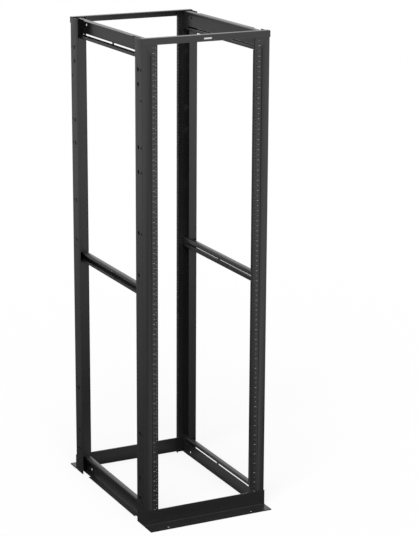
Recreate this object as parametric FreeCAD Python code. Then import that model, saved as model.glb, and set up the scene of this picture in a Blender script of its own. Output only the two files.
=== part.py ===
"""Four post open frame equipment rack, 84 in high, with 45 rack units of EIA-310 holes.

Millimetres. +Z is up and the floor is Z = 0. The origin is on the floor under the middle of
the frame. The front of the rack faces -Y, and its sides face -X and +X.
"""
import FreeCAD, Part
import math
import os

Vector = FreeCAD.Vector

# ---------------------------------------------------------------- overall frame
inch = 25.4
rack_height = 84 * inch
rack_width = 23.25 * inch
post_span = 30 * inch

# ---------------------------------------------------------------- sheets and bends
post_sheet = 3.0
beam_sheet = 2.5
crossbar_sheet = 3.0
base_sheet = 5.0
bend_radius = 1.5
flat_bend_share = 0.59

# ---------------------------------------------------------------- EIA-310 rail
rail_opening = 450.25
rail_hole_from_edge = 7.425
rack_unit = 44.45
spare_top_holes = 2
unit_hole_offsets = (6.35, 22.225, 38.1)
rail_hole_radius = 2.75
first_unit_above_base = 0.5

# ---------------------------------------------------------------- posts
web_width = 3 * inch
rail_lip = 14.0
inner_flange = 40.0
bead_from_web = 38.0
bead_width = 6.0
bead_depth = 2.5
bead_end_margin = 64.0

# ---------------------------------------------------------------- side beams and mid braces
beam_height = 85.7
beam_inset = 0.8
notch_clearance = 0.8
beam_end_clearance = 0.5
beam_narrow_flange = 24.0
beam_lip = 8.0
beam_slot_from_base = 68.0
brace_height = 46.3
brace_flange = 24.0
brace_lip = 10.0
slot_height = 11.0
slot_from_face = 52.0
slot_bridge = 14.0
slot_corner_share = 0.3
tie_hole_radius = 4.5
tie_hole_from_face = 94.0
tie_hole_from_base = 24.0

# ---------------------------------------------------------------- crossbars and base angles
crossbar_leg = 28.0
crossbar_flange = 26.0
base_leg = 71.0
base_foot = 71.0
anchor_span = 16 * inch
anchor_from_post = 53.0
anchor_radius = 7.5

# ---------------------------------------------------------------- worked out from the above
half_width = rack_width / 2
half_span = post_span / 2
post_height = rack_height - crossbar_sheet
rail_flange = (rack_width - rail_opening) / 2
rail_hole_from_web = rail_flange - rail_hole_from_edge
first_unit_height = base_leg + first_unit_above_base
unit_count = int((rack_height - crossbar_leg - first_unit_height) // rack_unit)
brace_centre = first_unit_height + (unit_count // 2) * rack_unit
beam_reach = inner_flange - post_sheet
beam_length = post_span - 2 * (post_sheet + bead_depth + beam_end_clearance)
cut_margin = 1.0

along_x = Vector(1, 0, 0)
along_y = Vector(0, 1, 0)
along_z = Vector(0, 0, 1)
origin = Vector(0, 0, 0)


# ---------------------------------------------------------------- sheet metal
def inner_path(path, sheet):
    """Return the inside of a bent sheet whose outside is the open path, which turns left."""
    inside = []
    for index, point in enumerate(path):
        before = path[max(index - 1, 0)]
        after = path[min(index + 1, len(path) - 1)]
        runs = [end - start for start, end in ((before, point), (point, after)) if end != start]
        sides = [along_z.cross(run).normalize() for run in runs]
        halfway = (sides[0] + sides[-1]).normalize()
        inside.append(point + halfway * (sheet / halfway.dot(sides[0])))
    return inside


def formed_sheet(path, sheet, length, rounded=True):
    """Return a sheet bent along the path, in XY, and running up Z for the length.

    Its bends are round, or else each is drawn as one flat, to save faces on the lesser pieces.
    """
    inside = inner_path(path, sheet)
    outline = path + inside[::-1]
    blank = Part.Face(Part.makePolygon(outline + outline[:1])).extrude(along_z * length)
    bends = [(corner, bend_radius + sheet) for corner in path[1:-1]]
    bends += [(corner, bend_radius) for corner in inside[1:-1]]
    for corner, radius in bends:
        column = Part.makeLine(corner, corner + along_z * length)
        edges = [edge for edge in blank.Edges if edge.CenterOfMass.isEqual(column.CenterOfMass, 0.01)]
        if rounded:
            blank = blank.makeFillet(radius, edges)
        else:
            blank = blank.makeChamfer(radius * flat_bend_share, edges)
    return blank


def laid_along_y(shape, length):
    """Turn an upright sheet to run along Y about the origin, with its Y axis turned up."""
    turned = shape.copy()
    turned.rotate(origin, along_x, 90)
    turned.translate(along_y * (length / 2))
    return turned


def laid_along_x(shape, length):
    """Turn an upright sheet to run along X about the origin: its X becomes Y, its Y becomes Z."""
    turned = shape.copy()
    turned.rotate(origin, along_x, 90)
    turned.rotate(origin, along_z, 90)
    turned.translate(along_x * (-length / 2))
    return turned


# ---------------------------------------------------------------- cutters
def box_between(low, high):
    """Return the box between two opposite corners."""
    size = high - low
    return Part.makeBox(size.x, size.y, size.z, low)


def round_hole(centre, radius, direction, reach):
    """Return a round cutter that reaches both ways from the centre."""
    return Part.makeCylinder(radius, 2 * reach, centre - direction * reach, direction)


def square_hole(centre, radius, direction, reach):
    """Return a cutter of few faces for a small round hole: a square of the hole's own area."""
    side = radius * math.sqrt(math.pi)
    across = along_z.cross(direction)
    corner = centre - direction * reach - across * (side / 2) - along_z * (side / 2)
    outline = [corner, corner + across * side, corner + (across + along_z) * side]
    outline += [corner + along_z * side, corner]
    return Part.Face(Part.makePolygon(outline)).extrude(direction * (2 * reach))


def slot_hole(centre, length, height, reach):
    """Return a slot through X, long in Y, with its ends eased by a flat at each corner."""
    half = Vector(reach, length / 2, height / 2)
    body = box_between(centre - half, centre + half)
    corners = [edge for edge in body.Edges if abs(edge.CenterOfMass.x - centre.x) < 0.01]
    return body.makeChamfer(height * slot_corner_share, corners)


# ---------------------------------------------------------------- posts
# A post is drawn as the front left one, with its web at -X and its rail flange at -Y.

def post_path():
    """Return the outside of the post's section, from the inner flange's tip to the rail's lip."""
    web = -half_width
    front = -half_span
    return [
        Vector(web + inner_flange, front + web_width, 0),
        Vector(web, front + web_width, 0),
        Vector(web, front, 0),
        Vector(web + rail_flange, front, 0),
        Vector(web + rail_flange, front + rail_lip, 0),
    ]


def notches():
    """Return the cutters that let the two side beams and the brace through the inner flange."""
    beam_notch = beam_inset + beam_height + notch_clearance
    brace_notch = brace_height / 2 + notch_clearance
    spans = (
        (-cut_margin, beam_notch),
        (brace_centre - brace_notch, brace_centre + brace_notch),
        (post_height - beam_notch, post_height + cut_margin),
    )
    web_inside = -half_width + post_sheet
    flange_outside = -half_span + web_width
    bend = post_sheet + bend_radius + cut_margin
    cutters = []
    for bottom, top in spans:
        low = Vector(web_inside, flange_outside - bend, bottom)
        high = Vector(-half_width + inner_flange + cut_margin, flange_outside + cut_margin, top)
        cutters.append(box_between(low, high))
    return cutters


def bead_bar(widening, depth):
    """Return a bar of the bead's vee section, widened on each side, behind the rail's face."""
    centre = -half_width + bead_from_web
    face = -half_span
    wide = bead_width / 2 + widening
    narrow = bead_width / 4 + widening
    outline = [
        Vector(centre - wide, face, bead_end_margin),
        Vector(centre + wide, face, bead_end_margin),
        Vector(centre + narrow, face + depth, bead_end_margin),
        Vector(centre - narrow, face + depth, bead_end_margin),
    ]
    section = Part.Face(Part.makePolygon(outline + outline[:1]))
    return section.extrude(along_z * (post_height - 2 * bead_end_margin))


def with_bead(post):
    """Return the post with the stiffening bead pressed into its rail flange."""
    ridge = bead_bar(post_sheet / 2, bead_depth + post_sheet)
    groove = bead_bar(0, bead_depth)
    return post.fuse(ridge).cut(groove)


def rail_holes():
    """Return the rail's column of holes, of which the lowest unit's outer pair is truly round."""
    cutters = []
    for index in range(unit_count * len(unit_hole_offsets) + spare_top_holes):
        unit, place = divmod(index, len(unit_hole_offsets))
        height = first_unit_height + unit * rack_unit + unit_hole_offsets[place]
        centre = Vector(-half_width + rail_hole_from_web, -half_span + post_sheet / 2, height)
        is_round = unit == 0 and place != 1
        cutter = round_hole if is_round else square_hole
        cutters.append(cutter(centre, rail_hole_radius, along_y, post_sheet))
    return cutters


def make_post():
    """Return a post in the front left place."""
    post = formed_sheet(post_path(), post_sheet, post_height)
    return with_bead(post.cut(notches())).cut(rail_holes())


# ---------------------------------------------------------------- side beams and mid braces
# Drawn with the bay side of the web at X = 0, the flanges towards -X and the base at Z = 0.

def web_slots(height):
    """Return the two long slots of a web, at a height above the base."""
    outer_end = half_span - slot_from_face
    inner_end = slot_bridge / 2
    middle = Vector(-beam_sheet / 2, (outer_end + inner_end) / 2, height)
    cutters = []
    for side in (-1, 1):
        centre = Vector(middle.x, side * middle.y, middle.z)
        cutters.append(slot_hole(centre, outer_end - inner_end, slot_height, beam_sheet))
    return cutters


def make_side_beam():
    """Return a side beam: a wide flange at its base and a narrow, lipped one on top."""
    path = [
        Vector(-beam_reach, 0, 0),
        Vector(0, 0, 0),
        Vector(0, beam_height, 0),
        Vector(-beam_narrow_flange, beam_height, 0),
        Vector(-beam_narrow_flange, beam_height - beam_lip, 0),
    ]
    beam = laid_along_y(formed_sheet(path, beam_sheet, beam_length, rounded=False), beam_length)
    cutters = web_slots(beam_slot_from_base)
    for side in (-1, 1):
        place = side * (half_span - tie_hole_from_face)
        centre = Vector(-beam_sheet / 2, place, tie_hole_from_base)
        cutters.append(square_hole(centre, tie_hole_radius, along_x, beam_sheet))
    return beam.cut(cutters)


def make_mid_brace():
    """Return a mid brace: a shallow channel with a lip on each flange."""
    path = [
        Vector(-brace_flange, brace_lip, 0),
        Vector(-brace_flange, 0, 0),
        Vector(0, 0, 0),
        Vector(0, brace_height, 0),
        Vector(-brace_flange, brace_height, 0),
        Vector(-brace_flange, brace_height - brace_lip, 0),
    ]
    brace = laid_along_y(formed_sheet(path, beam_sheet, beam_length, rounded=False), beam_length)
    return brace.cut(web_slots(brace_height / 2))


# ---------------------------------------------------------------- crossbars and base angles

def make_crossbar():
    """Return the front crossbar: its leg laps the posts' faces and its flange lies on their tops."""
    face = -half_span - crossbar_sheet
    path = [
        Vector(face + crossbar_flange, rack_height, 0),
        Vector(face, rack_height, 0),
        Vector(face, rack_height - crossbar_leg, 0),
    ]
    return laid_along_x(formed_sheet(path, crossbar_sheet, rack_width), rack_width)


def make_base_angle():
    """Return the front base angle: its leg laps the posts' faces and its foot points forward."""
    path = [
        Vector(-half_span - base_foot, 0, 0),
        Vector(-half_span, 0, 0),
        Vector(-half_span, base_leg, 0),
    ]
    angle = laid_along_x(formed_sheet(path, base_sheet, rack_width), rack_width)
    cutters = []
    for side in (-1, 1):
        centre = Vector(side * anchor_span / 2, -half_span - anchor_from_post, base_sheet / 2)
        cutters.append(round_hole(centre, anchor_radius, along_z, base_sheet))
    return angle.cut(cutters)


# ---------------------------------------------------------------- assembly

def placed(shape, right=False, rear=False):
    """Return a piece drawn at the front left, mirrored to the right or to the rear."""
    result = shape.copy()
    if right:
        result = result.mirror(origin, along_x)
    if rear:
        result = result.mirror(origin, along_y)
    return result


def save(name, shape):
    """Write one piece to its own file."""
    shape.exportStep("parts/" + name + ".step")


def save_posts():
    """Write the four posts."""
    post = make_post()
    for end, is_rear in (("front", False), ("rear", True)):
        for side, is_right in (("left", False), ("right", True)):
            save(end + "_" + side + "_post", placed(post, is_right, is_rear))


def save_sides():
    """Write the two side beams and the mid brace of each side."""
    web_plane = -half_width + inner_flange
    beam = make_side_beam()
    bottom = beam.copy()
    bottom.translate(Vector(web_plane, 0, beam_inset))
    top = beam.mirror(origin, along_z)
    top.translate(Vector(web_plane, 0, post_height - beam_inset))
    brace = make_mid_brace()
    brace.translate(Vector(web_plane, 0, brace_centre - brace_height / 2))
    for side, is_right in (("left", False), ("right", True)):
        save(side + "_bottom_beam", placed(bottom, right=is_right))
        save(side + "_top_beam", placed(top, right=is_right))
        save(side + "_mid_brace", placed(brace, right=is_right))


def save_cross_members():
    """Write the crossbar and the base angle of each end."""
    crossbar = make_crossbar()
    base_angle = make_base_angle()
    for end, is_rear in (("front", False), ("rear", True)):
        save(end + "_top_crossbar", placed(crossbar, rear=is_rear))
        save(end + "_base_angle", placed(base_angle, rear=is_rear))


def main():
    """Build every piece in its place and write it."""
    os.makedirs("parts", exist_ok=True)
    save_posts()
    save_sides()
    save_cross_members()


main()
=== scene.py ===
"""Looks of a four post open frame equipment rack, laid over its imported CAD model.

Metres, with +Z up and the rack's front towards -Y, as in the CAD frame.
"""

import logging
import math
from dataclasses import dataclass, field
from enum import Enum

import bmesh
import bpy
from mathutils import Matrix, Vector


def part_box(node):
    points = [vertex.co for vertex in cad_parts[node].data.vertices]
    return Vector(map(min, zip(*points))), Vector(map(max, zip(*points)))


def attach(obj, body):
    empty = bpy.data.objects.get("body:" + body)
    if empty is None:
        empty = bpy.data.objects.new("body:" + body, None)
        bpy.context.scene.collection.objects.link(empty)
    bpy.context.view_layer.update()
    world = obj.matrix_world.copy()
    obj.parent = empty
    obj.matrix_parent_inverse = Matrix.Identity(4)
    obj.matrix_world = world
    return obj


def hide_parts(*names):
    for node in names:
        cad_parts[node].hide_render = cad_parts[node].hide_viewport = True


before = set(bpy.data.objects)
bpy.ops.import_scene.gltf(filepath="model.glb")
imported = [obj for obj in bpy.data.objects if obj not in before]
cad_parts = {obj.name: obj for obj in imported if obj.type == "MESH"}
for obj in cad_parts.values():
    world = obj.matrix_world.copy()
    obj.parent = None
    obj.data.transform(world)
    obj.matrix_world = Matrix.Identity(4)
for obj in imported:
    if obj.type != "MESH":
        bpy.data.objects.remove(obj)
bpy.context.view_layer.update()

BMesh = bmesh.types.BMesh
Tree = bpy.types.NodeTree
Node = bpy.types.Node
Socket = bpy.types.NodeSocket
Colour = tuple[float, float, float]

LOG = logging.getLogger("rack")
MM = 0.001
UNIT = 44.45 * MM
UNITS = 45
FIRST_UNIT = 71.5 * MM
ROUND_SIDES = 12
EASED_EDGE = 0.3 * MM
EASED_ANGLE = math.radians(50)
SMOOTH_ANGLE = math.radians(35)


class Side(Enum):
    """The rack's left and right, as signs of X."""

    left = -1
    right = 1


class End(Enum):
    """The rack's front and rear, as signs of Y."""

    front = -1
    rear = 1


# ---------------------------------------------------------------- node helpers
def new_group(name: str, inputs: dict[str, str], outputs: dict[str, str]) -> Tree:
    """Start a shader node group.

    Args:
        name: the group's name.
        inputs: socket names and kinds.
        outputs: socket names and kinds.

    Returns:
        The group, with its input and output nodes in place.
    """
    tree = bpy.data.node_groups.new(name, "ShaderNodeTree")
    for way, sockets in (("INPUT", inputs), ("OUTPUT", outputs)):
        for label, kind in sockets.items():
            tree.interface.new_socket(name=label, in_out=way, socket_type="NodeSocket" + kind)
    tree.nodes.new("NodeGroupInput")
    tree.nodes.new("NodeGroupOutput")
    return tree


def noise(tree: Tree, scale: float, detail: float) -> Node:
    """Add a noise node.

    Args:
        tree: the nodes that it joins.
        scale: its scale.
        detail: its octaves.

    Returns:
        The node, whose vector is still to be linked.
    """
    node = tree.nodes.new("ShaderNodeTexNoise")
    node.inputs["Scale"].default_value = scale
    node.inputs["Detail"].default_value = detail
    return node


def ranged(tree: Tree, low: float, high: float, out_low: float, out_high: float) -> Node:
    """Add a clamped Map Range node.

    Args:
        tree: the nodes that it joins.
        low: the value that gives out_low.
        high: the value that gives out_high.
        out_low: the result at low and before it.
        out_high: the result at high and past it.

    Returns:
        The node, whose value is still to be linked.
    """
    node = tree.nodes.new("ShaderNodeMapRange")
    for place, value in enumerate((low, high, out_low, out_high), start=1):
        node.inputs[place].default_value = value
    return node


def reckoned(tree: Tree, operation: str, first: Socket, second: Socket | float) -> Socket:
    """Add a Math node of two values.

    Args:
        tree: the nodes that it joins.
        operation: MULTIPLY or MAXIMUM.
        first: the first value.
        second: the second value, linked or fixed.

    Returns:
        Its result.
    """
    node = tree.nodes.new("ShaderNodeMath")
    node.operation = operation
    tree.links.new(first, node.inputs[0])
    if isinstance(second, float):
        node.inputs[1].default_value = second
    else:
        tree.links.new(second, node.inputs[1])
    return node.outputs["Value"]


def mixed(tree: Tree, mask: Socket, low: Socket | Colour, high: Colour) -> Socket:
    """Add a colour that runs from low to high with a mask.

    Args:
        tree: the nodes that it joins.
        mask: how much of high shows, from 0 to 1.
        low: the colour beneath, linked or fixed.
        high: the colour on top.

    Returns:
        The mixed colour.
    """
    node = tree.nodes.new("ShaderNodeMix")
    node.data_type = "RGBA"
    node.inputs["B"].default_value = (*high, 1.0)
    tree.links.new(mask, node.inputs["Factor"])
    if isinstance(low, tuple):
        node.inputs["A"].default_value = (*low, 1.0)
    else:
        tree.links.new(low, node.inputs["A"])
    return node.outputs["Result"]


def add_bump(tree: Tree, shader: Node, height: Socket, strength: float, distance: float) -> None:
    """Roughen a shader's surface.

    Args:
        tree: the material's nodes.
        shader: the shader whose Normal is fed.
        height: the relief, from 0 to 1.
        strength: how much of it shows.
        distance: its full height.
    """
    bump = tree.nodes.new("ShaderNodeBump")
    bump.inputs["Strength"].default_value = strength
    bump.inputs["Distance"].default_value = distance
    tree.links.new(height, bump.inputs["Height"])
    tree.links.new(bump.outputs["Normal"], shader.inputs["Normal"])


# ---------------------------------------------------------------- finishes
@dataclass(frozen=True)
class CoatGrain:
    """How a powder coat varies; its three noises are each a scale and a detail."""

    pebble: tuple[float, float] = (900.0, 2.0)
    patches: tuple[float, float] = (3.5, 3.0)
    scuffs: tuple[float, float] = (3.0, 6.0)
    scuff_stretch: tuple[float, float, float] = (60.0, 60.0, 9.0)
    scuff_range: tuple[float, float] = (0.68, 0.78)

    def build(self) -> Tree:
        """Make the node group.

        Returns:
            The group, which gives the fine pebble, the soft patches and the scuffs from 0 to 1.
        """
        masks = {"Pebble": "Float", "Patches": "Float", "Scuffs": "Float"}
        tree = new_group("coat_grain", {"Position": "Vector"}, masks)
        source, sink = tree.nodes["Group Input"], tree.nodes["Group Output"]
        pebble = noise(tree, *self.pebble)
        patches = noise(tree, *self.patches)
        stretch = tree.nodes.new("ShaderNodeMapping")
        stretch.inputs["Scale"].default_value = self.scuff_stretch
        scuffs = noise(tree, *self.scuffs)
        sharp = ranged(tree, *self.scuff_range, 0.0, 1.0)
        for node in (pebble, patches, stretch):
            tree.links.new(source.outputs["Position"], node.inputs["Vector"])
        tree.links.new(stretch.outputs["Vector"], scuffs.inputs["Vector"])
        tree.links.new(scuffs.outputs["Fac"], sharp.inputs["Value"])
        tree.links.new(pebble.outputs["Fac"], sink.inputs["Pebble"])
        tree.links.new(patches.outputs["Fac"], sink.inputs["Patches"])
        tree.links.new(sharp.outputs["Result"], sink.inputs["Scuffs"])
        return tree


@dataclass(frozen=True)
class SettledDust:
    """Where dust settles: in thin clouds, on the faces that look up."""

    facing: tuple[float, float] = (0.6, 1.0)
    cloud: tuple[float, float] = (22.0, 5.0)
    cloud_range: tuple[float, float] = (0.35, 0.75)
    thinnest: float = 0.2

    def build(self) -> Tree:
        """Make the node group.

        Returns:
            The group, which gives one mask from 0 to 1.
        """
        tree = new_group("settled_dust", {"Position": "Vector"}, {"Dust": "Float"})
        source, sink = tree.nodes["Group Input"], tree.nodes["Group Output"]
        shape = tree.nodes.new("ShaderNodeNewGeometry")
        parts = tree.nodes.new("ShaderNodeSeparateXYZ")
        upward = ranged(tree, *self.facing, 0.0, 1.0)
        cloud = noise(tree, *self.cloud)
        thin = ranged(tree, *self.cloud_range, self.thinnest, 1.0)
        tree.links.new(source.outputs["Position"], cloud.inputs["Vector"])
        tree.links.new(shape.outputs["Normal"], parts.inputs["Vector"])
        tree.links.new(parts.outputs["Z"], upward.inputs["Value"])
        tree.links.new(cloud.outputs["Fac"], thin.inputs["Value"])
        dust = reckoned(tree, "MULTIPLY", upward.outputs["Result"], thin.outputs["Result"])
        tree.links.new(dust, sink.inputs["Dust"])
        return tree


@dataclass(frozen=True)
class CoatFinish:
    """Satin powder coat on steel: a base colour, its worn and dusty colours, and its gloss."""

    name: str
    colour: Colour
    worn: Colour
    dust: Colour
    patch_lift: float = 1.25
    patch_range: tuple[float, float] = (0.3, 0.7)
    roughness: float = 0.28
    roughness_spread: float = 0.04
    pebble_strength: float = 0.35
    pebble_height: float = 0.05 * MM
    scuff_share: float = 0.25
    dust_share: float = 0.05

    def build(self, grain: Tree, settled: Tree) -> bpy.types.Material:
        """Make the material.

        Args:
            grain: the coat's grain group.
            settled: the dust group.

        Returns:
            A node material that reads Object coordinates.
        """
        made = bpy.data.materials.new(self.name)
        made.use_nodes = True
        tree = made.node_tree
        shader = tree.nodes["Principled BSDF"]
        place = tree.nodes.new("ShaderNodeTexCoord")
        coat = tree.nodes.new("ShaderNodeGroup")
        coat.node_tree = grain
        film = tree.nodes.new("ShaderNodeGroup")
        film.node_tree = settled
        for node in (coat, film):
            tree.links.new(place.outputs["Object"], node.inputs["Position"])
        lifted = tuple(self.patch_lift * part for part in self.colour)
        toned = mixed(tree, coat.outputs["Patches"], self.colour, lifted)
        scuffed = self.blended(tree, toned, self.worn, coat.outputs["Scuffs"], self.scuff_share)
        dusty = self.blended(tree, scuffed, self.dust, film.outputs["Dust"], self.dust_share)
        tree.links.new(dusty, shader.inputs["Base Color"])
        smoothest = self.roughness - self.roughness_spread
        roughest = self.roughness + self.roughness_spread
        gloss = ranged(tree, *self.patch_range, smoothest, roughest)
        tree.links.new(coat.outputs["Patches"], gloss.inputs["Value"])
        tree.links.new(gloss.outputs["Result"], shader.inputs["Roughness"])
        add_bump(tree, shader, coat.outputs["Pebble"], self.pebble_strength, self.pebble_height)
        return made

    @staticmethod
    def blended(tree: Tree, under: Socket, over: Colour, mask: Socket, share: float) -> Socket:
        """Lay a colour over another where a mask says.

        Args:
            tree: the material's nodes.
            under: the colour beneath.
            over: the colour on top.
            mask: where it lies, from 0 to 1.
            share: how strongly it covers.

        Returns:
            The blended colour.
        """
        return mixed(tree, reckoned(tree, "MULTIPLY", mask, share), under, over)


@dataclass(frozen=True)
class PrintFinish:
    """Matt printed ink or a pale label, slightly uneven; its cloud is a scale and a detail."""

    name: str
    colour: Colour
    faded: Colour
    roughness: float = 0.6
    cloud: tuple[float, float] = (160.0, 4.0)
    relief_strength: float = 0.2
    relief_height: float = 0.02 * MM

    def build(self) -> bpy.types.Material:
        """Make the material.

        Returns:
            A node material that reads Object coordinates.
        """
        made = bpy.data.materials.new(self.name)
        made.use_nodes = True
        tree = made.node_tree
        shader = tree.nodes["Principled BSDF"]
        shader.inputs["Roughness"].default_value = self.roughness
        place = tree.nodes.new("ShaderNodeTexCoord")
        cloud = noise(tree, *self.cloud)
        tree.links.new(place.outputs["Object"], cloud.inputs["Vector"])
        toned = mixed(tree, cloud.outputs["Fac"], self.colour, self.faded)
        tree.links.new(toned, shader.inputs["Base Color"])
        add_bump(tree, shader, cloud.outputs["Fac"], self.relief_strength, self.relief_height)
        return made


# ---------------------------------------------------------------- mesh helpers
def piece_from(mesh: BMesh, name: str, material: bpy.types.Material | None) -> bpy.types.Object:
    """Turn a bmesh into an object at the origin and free the bmesh.

    Args:
        mesh: its shape.
        name: its name.
        material: its finish, or None where it comes later or never.

    Returns:
        The object, linked to the scene.
    """
    data = bpy.data.meshes.new(name)
    mesh.to_mesh(data)
    mesh.free()
    made = bpy.data.objects.new(name, data)
    bpy.context.scene.collection.objects.link(made)
    if material:
        data.materials.append(material)
    return made


def add_rod(
    mesh: BMesh, centre: Vector, axis: Vector, radius: float, length: float, sides: int
) -> None:
    """Add a closed round rod to a bmesh.

    Args:
        mesh: the bmesh.
        centre: the rod's middle.
        axis: the way it lies.
        radius: its radius.
        length: its whole length.
        sides: how many flats make it round.
    """
    turn = axis.to_track_quat("Z", "Y").to_matrix().to_4x4()
    bmesh.ops.create_cone(
        mesh, cap_ends=True, cap_tris=False, segments=sides, radius1=radius, radius2=radius,
        depth=length, matrix=Matrix.Translation(centre) @ turn)


def add_block(mesh: BMesh, low: Vector, high: Vector) -> list[bmesh.types.BMVert]:
    """Add a closed block to a bmesh.

    Args:
        mesh: the bmesh.
        low: the block's lowest corner.
        high: its highest corner.

    Returns:
        The block's vertices.
    """
    size = Matrix.Diagonal((high - low).to_4d())
    size[3][3] = 1.0
    made = bmesh.ops.create_cube(mesh, size=1.0, matrix=Matrix.Translation((low + high) / 2) @ size)
    return made["verts"]


def add_slot(mesh: BMesh, centre: Vector, length: float, height: float, reach: float) -> None:
    """Add a round-ended slot cutter through X, long in Y.

    Args:
        mesh: the bmesh.
        centre: the cutter's middle.
        length: its whole length.
        height: its height.
        reach: how far it goes to each side of its middle.
    """
    sides = 2 * ROUND_SIDES
    half_step = Matrix.Rotation(math.pi / sides, 4, "Z")
    turn = Matrix.Rotation(math.pi / 2, 4, "Y") @ half_step
    made = bmesh.ops.create_cone(
        mesh, cap_ends=True, cap_tris=False, segments=sides, radius1=height / 2,
        radius2=height / 2, depth=2 * reach, matrix=Matrix.Translation(centre) @ turn)
    shift = (length - height) / 2
    for vert in made["verts"]:
        vert.co.y += math.copysign(shift, vert.co.y - centre.y)


def carved(body: bpy.types.Object, tool: bpy.types.Object, operation: str) -> None:
    """Join a tool to a body, or cut it away, and keep the result as the body's own mesh.

    Args:
        body: the object that is carved.
        tool: the object that carves it, which is then removed.
        operation: UNION or DIFFERENCE.
    """
    cut = body.modifiers.new("carve", "BOOLEAN")
    cut.operation = operation
    cut.solver = "EXACT"
    cut.object = tool
    bpy.context.view_layer.update()
    graph = bpy.context.evaluated_depsgraph_get()
    result = bpy.data.meshes.new_from_object(body.evaluated_get(graph))
    body.modifiers.clear()
    body.data = result
    bpy.data.objects.remove(tool)


@dataclass
class FormedSheet:
    """A sheet bent along a path that turns left, whose points are the outside of its bends."""

    path: list[tuple[float, float]]
    sheet: float
    length: float
    bend: float = 1.5 * MM
    bend_steps: int = 4

    def build(self) -> BMesh:
        """Form the sheet.

        Returns:
            The closed sheet, standing on Z = 0 and running up Z.
        """
        mesh = bmesh.new()
        corners = [mesh.verts.new((across, along, 0.0)) for across, along in self.path]
        edges = [mesh.edges.new(pair) for pair in zip(corners, corners[1:])]
        raised = bmesh.ops.extrude_edge_only(mesh, edges=edges)["geom"]
        tops = [item for item in raised if isinstance(item, bmesh.types.BMVert)]
        bmesh.ops.translate(mesh, verts=tops, vec=(0.0, 0.0, self.length))
        folds = [edge for edge in mesh.edges if len(edge.link_faces) == 2]
        bmesh.ops.bevel(
            mesh, geom=folds, offset=self.bend + self.sheet, offset_type="OFFSET",
            segments=self.bend_steps, profile=0.5, affect="EDGES", material=-1)
        bmesh.ops.recalc_face_normals(mesh, faces=mesh.faces)
        self.face_outward(mesh)
        bmesh.ops.solidify(mesh, geom=mesh.faces[:], thickness=self.sheet)
        bmesh.ops.recalc_face_normals(mesh, faces=mesh.faces)
        return mesh

    def face_outward(self, mesh: BMesh) -> None:
        """Turn the open strip's faces to the outside of the bends, so that it thickens inwards.

        Args:
            mesh: the strip, before it has its thickness.
        """
        start, end = Vector(self.path[0]), Vector(self.path[1])
        middle = (start + end) / 2
        run = end - start
        outward = Vector((run.y, -run.x, 0.0))
        first = min(mesh.faces, key=lambda face: (face.calc_center_median().xy - middle).length)
        if first.normal.dot(outward) < 0:
            bmesh.ops.reverse_faces(mesh, faces=mesh.faces[:])


def laid_along_y(mesh: BMesh, length: float) -> None:
    """Turn an upright sheet to run along Y about the origin, with its Y turned up.

    Args:
        mesh: the sheet.
        length: its length.
    """
    turn = Matrix.Rotation(math.pi / 2, 3, "X")
    bmesh.ops.rotate(mesh, verts=mesh.verts, cent=(0, 0, 0), matrix=turn)
    bmesh.ops.translate(mesh, verts=mesh.verts, vec=(0.0, length / 2, 0.0))


def finish_piece(piece: bpy.types.Object, material: bpy.types.Material) -> None:
    """Give a carved steel piece its coat and its eased edges.

    Args:
        piece: the carved piece.
        material: its coat.
    """
    piece.data.materials.clear()
    piece.data.materials.append(material)
    easing = piece.modifiers.new("eased_edges", "BEVEL")
    easing.width = EASED_EDGE
    easing.segments = 1
    easing.limit_method = "ANGLE"
    easing.angle_limit = EASED_ANGLE
    easing.use_clamp_overlap = False
    smooth_shallow(piece.data)


def smooth_shallow(data: bpy.types.Mesh) -> None:
    """Shade the bends smooth and leave the square edges sharp.

    Args:
        data: the mesh.
    """
    mesh = bmesh.new()
    mesh.from_mesh(data)
    for face in mesh.faces:
        face.smooth = True
    for edge in mesh.edges:
        edge.smooth = len(edge.link_faces) == 2 and edge.calc_face_angle() < SMOOTH_ANGLE
    mesh.to_mesh(data)
    mesh.free()


def mirror_copy(source: bpy.types.Object, name: str, across: Vector) -> bpy.types.Object:
    """Copy a piece's mesh and coat, mirrored across each axis whose part of a vector is negative.

    Args:
        source: the piece, whose modifiers aren't copied.
        name: the copy's name.
        across: 1 or -1 for each axis.

    Returns:
        The copy.
    """
    mesh = bmesh.new()
    mesh.from_mesh(source.data)
    bmesh.ops.scale(mesh, vec=across, verts=mesh.verts)
    bmesh.ops.recalc_face_normals(mesh, faces=mesh.faces)
    made = piece_from(mesh, name, None)
    for material in source.data.materials:
        made.data.materials.append(material)
    return made


def turn_over(piece: bpy.types.Object, top: float, base: float) -> None:
    """Turn a piece upside down, as its own mirror image.

    Args:
        piece: the piece.
        top: the height that its base comes to.
        base: the height of its base.
    """
    mesh = bmesh.new()
    mesh.from_mesh(piece.data)
    bmesh.ops.scale(mesh, vec=(1.0, 1.0, -1.0), verts=mesh.verts)
    bmesh.ops.recalc_face_normals(mesh, faces=mesh.faces)
    bmesh.ops.translate(mesh, verts=mesh.verts, vec=(0.0, 0.0, top + base))
    mesh.to_mesh(piece.data)
    mesh.free()


def stand_in(piece: bpy.types.Object) -> None:
    """Let a steel piece stand for the CAD node that it is named after.

    Args:
        piece: a piece with its node's name and _steel.
    """
    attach(piece, "root")
    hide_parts(piece.name.removesuffix("_steel"))


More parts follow.
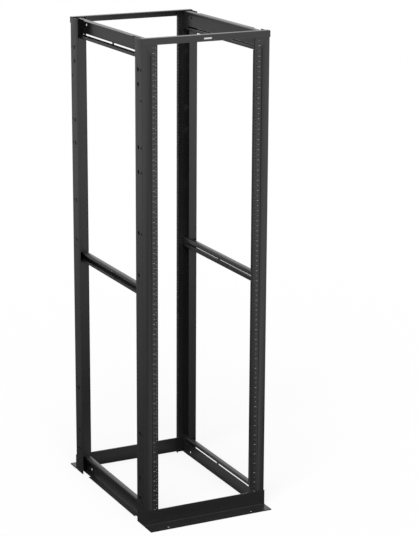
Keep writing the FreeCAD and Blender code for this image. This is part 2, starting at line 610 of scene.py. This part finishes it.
# ---------------------------------------------------------------- steelwork
@dataclass
class Post:
    """A channel post with its column of unit holes, drawn as the front left one and mirrored."""

    coat: bpy.types.Material
    sheet: float = 3.0 * MM
    rail_lip: float = 14.0 * MM
    inner_flange: float = 40.0 * MM
    bead_from_web: float = 38.0 * MM
    bead_width: float = 6.0 * MM
    bead_depth: float = 2.5 * MM
    bead_margin: float = 64.0 * MM
    hole_from_web: float = 62.725 * MM
    hole_radius: float = 2.75 * MM
    spare_holes: int = 2
    offsets: tuple[float, ...] = (6.35 * MM, 22.225 * MM, 38.1 * MM)
    outer_row: tuple[float, float] = (16.0 * MM, 6.0 * MM)
    inner_row: tuple[float, float] = (44.0 * MM, 9.5 * MM)
    outer_heights: tuple[float, ...] = (0.101, 0.416, 1.310, 1.572, 1.677, 1.874, 2.003)
    inner_heights: tuple[float, ...] = (
        0.119, 0.210, 0.416, 1.126, 1.310, 1.572, 1.677, 1.941, 2.003)
    small_holes: tuple[tuple[float, float], ...] = ((16.0 * MM, 1.094), (44.0 * MM, 1.094))
    small_radius: float = 4.0 * MM
    notch_depth: float = 5.5 * MM
    notch_spans: tuple[tuple[float, float], ...] = (
        (-0.001, 0.0873), (1.02545, 1.07335), (2.0433, 2.1316))
    low: Vector = field(default_factory=lambda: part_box("front_left_post")[0])
    high: Vector = field(default_factory=lambda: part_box("front_left_post")[1])

    def build(self) -> list[bpy.types.Object]:
        """Build and dress the front left post, and mirror it to the other three places.

        Returns:
            The four posts, each standing for its CAD node.
        """
        first = piece_from(self.section().build(), "front_left_post_steel", None)
        self.carve(first)
        finish_piece(first, self.coat)
        made = [first]
        for end in End:
            for side in Side:
                if (side, end) != (Side.left, End.front):
                    across = Vector((-side.value, -end.value, 1.0))
                    made.append(mirror_copy(first, f"{end.name}_{side.name}_post_steel", across))
        for post in made:
            stand_in(post)
        return made

    def section(self) -> FormedSheet:
        """Lay out the post's sheet.

        Returns:
            The sheet, from the inner flange's tip to the rail's lip.
        """
        web, face = self.low.x, self.low.y
        path = [
            (web + self.inner_flange, self.high.y),
            (web, self.high.y),
            (web, face),
            (self.high.x, face),
            (self.high.x, face + self.rail_lip),
        ]
        return FormedSheet(path, self.sheet, self.high.z - self.low.z)

    def bead_bar(self, widening: float, depth: float) -> BMesh:
        """Shape the bead's tapered bar, with sloping ends, behind the rail's face.

        Args:
            widening: what each side adds to the bead's own half width.
            depth: how far the bar reaches behind the face.

        Returns:
            The closed bar.
        """
        centre = self.low.x + self.bead_from_web
        wide = self.bead_width / 2 + widening
        narrow = self.bead_width / 4 + widening
        mesh = bmesh.new()
        verts = add_block(
            mesh, Vector((centre - wide, self.low.y, self.bead_margin)),
            Vector((centre + wide, self.low.y + depth, self.high.z - self.bead_margin)))
        middle = self.high.z / 2
        for vert in verts:
            if vert.co.y > self.low.y + depth / 2:
                vert.co.x = centre + math.copysign(narrow, vert.co.x - centre)
                vert.co.z -= math.copysign(2 * depth, vert.co.z - middle)
        return mesh

    def carve(self, post: bpy.types.Object) -> None:
        """Press the bead, then cut the notches and every hole.

        Args:
            post: the plain formed post.
        """
        steps = (
            ("ridge", "UNION", self.bead_bar(self.sheet / 2, self.bead_depth + self.sheet)),
            ("groove", "DIFFERENCE", self.bead_bar(0.0, self.bead_depth)),
            ("notches", "DIFFERENCE", self.notch_tools()),
            ("holes", "DIFFERENCE", self.hole_tools()),
        )
        for name, operation, tools in steps:
            carved(post, piece_from(tools, name, None), operation)

    def notch_tools(self) -> BMesh:
        """Make the blocks that let the beams and the brace through the inner flange.

        Returns:
            The three blocks.
        """
        mesh = bmesh.new()
        for bottom, top in self.notch_spans:
            low = Vector((self.low.x + self.sheet, self.high.y - self.notch_depth, bottom))
            high = Vector((self.low.x + self.inner_flange + MM, self.high.y + MM, top))
            add_block(mesh, low, high)
        return mesh

    def hole_tools(self) -> BMesh:
        """Make the rods of the rail's unit holes and of the web's service holes.

        Returns:
            All the rods.
        """
        mesh = bmesh.new()
        through = 4 * self.sheet
        per_unit = len(self.offsets)
        column = self.low.x + self.hole_from_web
        for index in range(UNITS * per_unit + self.spare_holes):
            unit, place = divmod(index, per_unit)
            height = FIRST_UNIT + unit * UNIT + self.offsets[place]
            centre = Vector((column, self.low.y + self.sheet / 2, height))
            add_rod(mesh, centre, Vector((0, 1, 0)), self.hole_radius, through, ROUND_SIDES)
        rows = [(*self.outer_row, height) for height in self.outer_heights]
        rows += [(*self.inner_row, height) for height in self.inner_heights]
        rows += [(depth, self.small_radius, height) for depth, height in self.small_holes]
        for depth, radius, height in rows:
            centre = Vector((self.low.x + self.sheet / 2, self.low.y + depth, height))
            add_rod(mesh, centre, Vector((1, 0, 0)), radius, through, 2 * ROUND_SIDES)
        return mesh


@dataclass
class SideMembers:
    """The beams and mid braces that join the front and rear posts of each side."""

    coat: bpy.types.Material
    sheet: float = 2.5 * MM
    bend_steps: int = 3
    narrow_flange: float = 24.0 * MM
    beam_lip: float = 14.0 * MM
    brace_lip: float = 11.5 * MM
    wide_setback: float = 6.0 * MM
    relief: tuple[float, float] = (10.0 * MM, 255.0 * MM)
    beam_slot: float = 68.0 * MM
    slot_height: float = 7.4 * MM
    slot_span: tuple[float, float] = (7.0 * MM, 329.0 * MM)
    tie_radius: float = 6.0 * MM
    tie_place: tuple[float, float] = (287.0 * MM, 24.0 * MM)
    tie_sides: int = 16

    def build(self) -> list[bpy.types.Object]:
        """Build and dress the left side's members, and mirror them to the right.

        Returns:
            The six members, each standing for its CAD node.
        """
        made = []
        bottom = self.beam("left_bottom_beam")
        top = self.beam("left_top_beam")
        turn_over(top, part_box("left_top_beam")[1].z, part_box("left_bottom_beam")[0].z)
        brace = self.brace("left_mid_brace")
        for left in (bottom, top, brace):
            finish_piece(left, self.coat)
            right_name = left.name.replace("left", "right", 1)
            made += [left, mirror_copy(left, right_name, Vector((-1.0, 1.0, 1.0)))]
        for member in made:
            stand_in(member)
        return made

    def beam(self, node: str) -> bpy.types.Object:
        """Form a left side beam, with the reliefs at the ends of its wide flange.

        Args:
            node: the CAD node that it is named after.

        Returns:
            The beam, in the bottom one's place.
        """
        low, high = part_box("left_bottom_beam")
        rise = high.z - low.z
        path = [
            (low.x + self.wide_setback, 0.0),
            (high.x, 0.0),
            (high.x, rise),
            (high.x - self.narrow_flange, rise),
            (high.x - self.narrow_flange, rise - self.beam_lip),
        ]
        made = self.member(node, path, low, high, self.beam_slot, (self.tie_place,))
        tools = bmesh.new()
        depth, start = self.relief
        inner = low.x + self.wide_setback + depth
        for way in (-1, 1):
            ends = sorted((way * start, way * (high.y + MM)))
            base = Vector((low.x - MM, ends[0], low.z - MM))
            add_block(tools, base, Vector((inner, ends[1], low.z + 2 * self.sheet)))
        carved(made, piece_from(tools, "reliefs", None), "DIFFERENCE")
        return made

    def brace(self, node: str) -> bpy.types.Object:
        """Form the left mid brace.

        Args:
            node: the CAD node that it stands for.

        Returns:
            The brace, in its place.
        """
        low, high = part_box(node)
        rise = high.z - low.z
        path = [
            (low.x, self.brace_lip),
            (low.x, 0.0),
            (high.x, 0.0),
            (high.x, rise),
            (low.x, rise),
            (low.x, rise - self.brace_lip),
        ]
        return self.member(node, path, low, high, rise / 2, ())

    def member(
        self,
        node: str,
        path: list[tuple[float, float]],
        low: Vector,
        high: Vector,
        slot_rise: float,
        ties: tuple[tuple[float, float], ...],
    ) -> bpy.types.Object:
        """Form one member, lay it along Y and cut its slots and tie holes.

        Args:
            node: the CAD node that it is named after.
            path: its outside, with X across and Y up from its base.
            low: the lowest corner of the node whose place it takes.
            high: that node's highest corner.
            slot_rise: the slots' height above its base.
            ties: distance from the middle and height above the base of its tie holes.

        Returns:
            The carved member.
        """
        mesh = FormedSheet(path, self.sheet, high.y - low.y, bend_steps=self.bend_steps).build()
        laid_along_y(mesh, high.y - low.y)
        bmesh.ops.translate(mesh, verts=mesh.verts, vec=(0.0, 0.0, low.z))
        body = piece_from(mesh, node + "_steel", None)
        tools = bmesh.new()
        through = 4 * self.sheet
        inner, outer = self.slot_span
        for way in (-1, 1):
            centre = Vector((high.x - self.sheet / 2, way * (inner + outer) / 2, low.z + slot_rise))
            add_slot(tools, centre, outer - inner, self.slot_height, through / 2)
            for place, rise in ties:
                spot = Vector((centre.x, way * place, low.z + rise))
                add_rod(tools, spot, Vector((1, 0, 0)), self.tie_radius, through, self.tie_sides)
        carved(body, piece_from(tools, "slots", None), "DIFFERENCE")
        return body


@dataclass
class CrossMembers:
    """The crossbars and base angles, whose CAD shapes stay and take the coat."""

    coat: bpy.types.Material
    nodes: tuple[str, ...] = (
        "front_top_crossbar", "rear_top_crossbar", "front_base_angle", "rear_base_angle")

    def dress(self) -> list[bpy.types.Object]:
        """Give each of the four its coat.

        Returns:
            The four CAD objects.
        """
        shown = [bpy.data.objects[node] for node in self.nodes]
        for member in shown:
            for place in member.material_slots:
                place.material = self.coat
        return shown


@dataclass
class UnitMarks:
    """White ink on the rails: a line between units and a plain number at each unit's middle."""

    ink: bpy.types.Material
    from_web: float = 50.0 * MM
    proud: float = 0.15 * MM
    line_size: tuple[float, float] = (9.0 * MM, 1.45 * MM)
    first_line_lift: float = 1.0 * MM
    number_height: float = 5.4 * MM
    number_steps: int = 2
    top_dash: float = 2.094
    top_dash_share: float = 0.45

    def build(self) -> list[bpy.types.Object]:
        """Mark all four posts.

        Returns:
            The four posts' marks, one piece each.
        """
        made = [self.marked(side, end) for end in End for side in Side]
        for piece in made:
            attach(piece, "root")
        return made

    def marked(self, side: Side, end: End) -> bpy.types.Object:
        """Print one post's lines and numbers.

        Args:
            side: the post's side.
            end: the post's end.

        Returns:
            All its marks as one piece.
        """
        low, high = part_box(f"{end.name}_{side.name}_post")
        web = low.x if side is Side.left else high.x
        across = web - side.value * self.from_web
        face = low.y if end is End.front else high.y
        mesh = bmesh.new()
        self.add_line(mesh, across, face, end, FIRST_UNIT + self.first_line_lift, 1.0)
        for count in range(1, UNITS + 1):
            self.add_line(mesh, across, face, end, FIRST_UNIT + count * UNIT, 1.0)
        self.add_line(mesh, across, face, end, self.top_dash, self.top_dash_share)
        for count in range(UNITS):
            height = FIRST_UNIT + (count + 0.5) * UNIT
            self.add_number(mesh, Vector((across, face, height)), end, str(count + 1))
        return piece_from(mesh, f"{end.name}_{side.name}_unit_marks", self.ink)

    def add_line(
        self, mesh: BMesh, across: float, face: float, end: End, height: float, share: float
    ) -> None:
        """Add one printed line.

        Args:
            mesh: the bmesh of the post's marks.
            across: the line's middle in X.
            face: the rail's face in Y.
            end: the end that the face looks to.
            height: the line's middle in Z.
            share: its length, as a share of a full line's.
        """
        half = Vector((share * self.line_size[0] / 2, self.proud / 2, self.line_size[1] / 2))
        centre = Vector((across, face + end.value * self.proud / 2, height))
        add_block(mesh, centre - half, centre + half)

    def add_number(self, mesh: BMesh, place: Vector, end: End, words: str) -> None:
        """Add one number that reads the right way up to someone who faces the rail.

        Args:
            mesh: the bmesh of the post's marks.
            place: the number's middle, on the rail's face.
            end: the end that the face looks to.
            words: the number.
        """
        curve = bpy.data.curves.new("unit_number", "FONT")
        curve.body = words
        curve.size = self.number_height
        curve.align_x = "CENTER"
        curve.align_y = "CENTER"
        curve.extrude = self.proud / 2
        curve.resolution_u = self.number_steps
        writing = bpy.data.objects.new("unit_number", curve)
        bpy.context.scene.collection.objects.link(writing)
        graph = bpy.context.evaluated_depsgraph_get()
        flat = bpy.data.meshes.new_from_object(writing.evaluated_get(graph))
        upright = Matrix.Rotation(math.pi / 2, 4, "X")
        faced = Matrix.Rotation(0.0 if end is End.front else math.pi, 4, "Z")
        lifted = place + Vector((0.0, end.value * self.proud / 2, 0.0))
        flat.transform(Matrix.Translation(lifted) @ faced @ upright)
        mesh.from_mesh(flat)
        bpy.data.objects.remove(writing)
        bpy.data.curves.remove(curve)
        bpy.data.meshes.remove(flat)


@dataclass
class CrossbarPlate:
    """The small pale plate on the front crossbar, left plain."""

    finish: bpy.types.Material
    size: tuple[float, float] = (36.0 * MM, 6.4 * MM)
    place: tuple[float, float] = (2.0 * MM, 2.1185)
    thickness: float = 0.3 * MM
    corner: float = 1.5 * MM
    corner_steps: int = 4

    def build(self) -> bpy.types.Object:
        """Fix the plate to the crossbar's face.

        Returns:
            The plate, with rounded corners.
        """
        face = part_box("front_top_crossbar")[0].y
        across, height = self.place
        half = Vector((self.size[0] / 2, self.thickness / 2, self.size[1] / 2))
        centre = Vector((across, face - self.thickness / 2, height))
        mesh = bmesh.new()
        add_block(mesh, centre - half, centre + half)
        corners = [
            edge for edge in mesh.edges if abs((edge.verts[0].co - edge.verts[1].co).y) > half.y]
        bmesh.ops.bevel(
            mesh, geom=corners, offset=self.corner, offset_type="OFFSET",
            segments=self.corner_steps, profile=0.5, affect="EDGES", material=-1)
        plate = piece_from(mesh, "crossbar_plate", self.finish)
        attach(plate, "root")
        return plate


# ---------------------------------------------------------------- studio
@dataclass
class Studio:
    """A pale floor under soft light, and the camera.

    The fields from shade_reach on set the painted shade that the floor shows only in reflections:
    darker round the rack and behind it, lighter inside the frame, bright far in front.
    """

    eye: tuple[float, float, float] = (-3.4611, -7.2795, 3.2439)
    azimuth: float = 25.573
    pitch: float = 15.041
    lens: float = 125.705
    sensor: float = 36.0
    shift: tuple[float, float] = (0.0693, -0.016)
    farthest: float = 200.0
    world_light: float = 0.5
    sun_turn: tuple[float, float] = (42.0, -30.0)
    sun_power: float = 3.0
    sun_spread: float = 50.0
    floor_size: float = 120.0
    floor_colour: float = 0.82
    floor_roughness: float = 0.9
    floor_glow: float = 0.8
    shade_reach: tuple[float, float] = (0.4, 7.5)
    shade_levels: tuple[float, float] = (0.08, 1.3)
    depth_reach: tuple[float, float] = (-3.0, 3.0)
    depth_levels: tuple[float, float] = (1.0, 0.38)
    inside_width: tuple[float, float] = (0.2, 0.27)
    inside_depth: tuple[float, float] = (0.3, 0.37)
    inside_painted_light: float = 0.32

    def build(self) -> None:
        """Set the view, the world, the floor, the lamp and the camera."""
        bpy.context.scene.view_settings.view_transform = "Standard"
        self.set_world()
        self.add_floor()
        self.add_lamp()
        self.add_camera()

    def set_world(self) -> None:
        """Show white to the camera and to reflections, and light the rest softly."""
        world = bpy.data.worlds.new("studio_world")
        bpy.context.scene.world = world
        world.use_nodes = True
        tree = world.node_tree
        backdrop = tree.nodes["Background"]
        backdrop.inputs["Color"].default_value = (1.0, 1.0, 1.0, 1.0)
        path = tree.nodes.new("ShaderNodeLightPath")
        level = ranged(tree, 0.0, 1.0, self.world_light, 1.0)
        seen = self.either(tree, path, ("Is Camera Ray", "Is Glossy Ray", "Is Transmission Ray"))
        tree.links.new(seen, level.inputs["Value"])
        tree.links.new(level.outputs["Result"], backdrop.inputs["Strength"])

    @staticmethod
    def either(tree: Tree, path: Node, names: tuple[str, ...]) -> Socket:
        """Tell whether a ray is of any of the named kinds.

        Args:
            tree: the nodes of a world or a material.
            path: its Light Path node.
            names: the kinds of ray.

        Returns:
            1 for such a ray, and 0 for the rest.
        """
        last = path.outputs[names[0]]
        for name in names[1:]:
            last = reckoned(tree, "MAXIMUM", last, path.outputs[name])
        return last

    def add_floor(self) -> None:
        """Lay the pale floor, which keeps the rack's shadow."""
        mesh = bmesh.new()
        bmesh.ops.create_grid(mesh, x_segments=1, y_segments=1, size=self.floor_size / 2)
        floor = piece_from(mesh, "studio_floor", self.floor_material())

    def floor_material(self) -> bpy.types.Material:
        """Make a pale matt floor, near white to the camera, that shows painted shade and painted
        light in reflections.

        Returns:
            The floor's material.
        """
        made = bpy.data.materials.new("studio_floor")
        made.use_nodes = True
        tree = made.node_tree
        matt = tree.nodes["Principled BSDF"]
        matt.inputs["Base Color"].default_value = (*[self.floor_colour] * 3, 1.0)
        matt.inputs["Roughness"].default_value = self.floor_roughness
        matt.inputs["Specular IOR Level"].default_value = 0.0
        path = tree.nodes.new("ShaderNodeLightPath")
        white = tree.nodes.new("ShaderNodeEmission")
        seen = tree.nodes.new("ShaderNodeMixShader")
        looked_at = self.either(tree, path, ("Is Camera Ray", "Is Transmission Ray"))
        tree.links.new(reckoned(tree, "MULTIPLY", looked_at, self.floor_glow), seen.inputs["Fac"])
        tree.links.new(matt.outputs["BSDF"], seen.inputs[1])
        tree.links.new(white.outputs["Emission"], seen.inputs[2])
        # Painted shade: reflections see this emission, not the lit floor. It is darker round the
        # rack and behind it, and lighter inside the frame.
        shade = tree.nodes.new("ShaderNodeEmission")
        tree.links.new(self.painted_reflection_shade(tree), shade.inputs["Strength"])
        both = tree.nodes.new("ShaderNodeMixShader")
        tree.links.new(path.outputs["Is Glossy Ray"], both.inputs["Fac"])
        tree.links.new(seen.outputs["Shader"], both.inputs[1])
        tree.links.new(shade.outputs["Emission"], both.inputs[2])
        tree.links.new(both.outputs["Shader"], tree.nodes["Material Output"].inputs["Surface"])
        return made

    def painted_reflection_shade(self, tree: Tree) -> Socket:
        """Work out the painted shade that the floor shows in reflections, as an emission level.

        Args:
            tree: the floor's nodes.

        Returns:
            A level that is low round the rack as painted shade, a little higher inside it as
            painted light, and white far in front.
        """
        place = tree.nodes.new("ShaderNodeTexCoord")
        size = tree.nodes.new("ShaderNodeVectorMath")
        size.operation = "LENGTH"
        tree.links.new(place.outputs["Object"], size.inputs[0])
        away = ranged(tree, *self.shade_reach, *self.shade_levels)
        tree.links.new(size.outputs["Value"], away.inputs["Value"])
        parts = tree.nodes.new("ShaderNodeSeparateXYZ")
        tree.links.new(place.outputs["Object"], parts.inputs["Vector"])
        ahead = ranged(tree, *self.depth_reach, *self.depth_levels)
        tree.links.new(parts.outputs["Y"], ahead.inputs["Value"])
        outside = reckoned(tree, "MULTIPLY", away.outputs["Result"], ahead.outputs["Result"])
        return reckoned(tree, "MAXIMUM", outside, self.painted_light_between_posts(tree, parts))

    def painted_light_between_posts(self, tree: Tree, parts: Node) -> Socket:
        """Work out the painted light on the floor inside the frame, which only reflections see.

        Args:
            tree: the floor's nodes.
            parts: the node that splits the position.

        Returns:
            inside_painted_light in the middle, falling to 0 near the side beams and base angles.
        """
        # Painted light: the reflected floor is lighter between the posts, falling to nothing near
        # the side beams and base angles.
        shares = []
        bounds = (("X", self.inside_width, self.inside_painted_light), ("Y", self.inside_depth, 1.0))
        for axis, (near, far), level in bounds:
            width = tree.nodes.new("ShaderNodeMath")
            width.operation = "ABSOLUTE"
            tree.links.new(parts.outputs[axis], width.inputs[0])
            share = ranged(tree, near, far, level, 0.0)
            tree.links.new(width.outputs["Value"], share.inputs["Value"])
            shares.append(share.outputs["Result"])
        return reckoned(tree, "MULTIPLY", *shares)

    def add_lamp(self) -> None:
        """Hang one broad soft lamp, high in front and to the left."""
        data = bpy.data.lights.new("soft_key", "SUN")
        data.energy = self.sun_power
        data.angle = math.radians(self.sun_spread)
        lamp = bpy.data.objects.new("soft_key", data)
        tilt, turn = self.sun_turn
        lamp.rotation_euler = (math.radians(tilt), 0.0, math.radians(turn))
        bpy.context.scene.collection.objects.link(lamp)

    def add_camera(self) -> None:
        """Stand the camera in front and to the left of the rack, looking a little down."""
        data = bpy.data.cameras.new("studio_camera")
        data.sensor_width = self.sensor
        data.lens = self.lens
        data.shift_x, data.shift_y = self.shift
        data.clip_end = self.farthest
        camera = bpy.data.objects.new("studio_camera", data)
        camera.location = self.eye
        camera.rotation_euler = (math.radians(90.0 - self.pitch), 0.0, math.radians(-self.azimuth))
        bpy.context.scene.collection.objects.link(camera)
        bpy.context.scene.camera = camera


def main() -> None:
    """Build and dress the rack, report its pieces, then set the studio."""
    logging.basicConfig(level=logging.INFO, format="%(name)s: %(message)s")
    coat = CoatFinish(
        "frame_coat_black", colour=(0.0095, 0.0095, 0.0098), worn=(0.04, 0.04, 0.04),
        dust=(0.07, 0.068, 0.065))
    steel = coat.build(CoatGrain().build(), SettledDust().build())
    ink = PrintFinish(
        "unit_mark_ink", colour=(0.31, 0.31, 0.305), faded=(0.24, 0.24, 0.235)).build()
    pale = PrintFinish(
        "plain_plate_face", colour=(0.62, 0.62, 0.62), faded=(0.5, 0.5, 0.5),
        roughness=0.45).build()
    pieces = [
        *Post(steel).build(),
        *SideMembers(steel).build(),
        *CrossMembers(steel).dress(),
        *UnitMarks(ink).build(),
        CrossbarPlate(pale).build(),
    ]
    for piece in pieces:
        LOG.info("finished %s", piece.name)
    Studio().build()


if __name__ == "__main__":
    main()
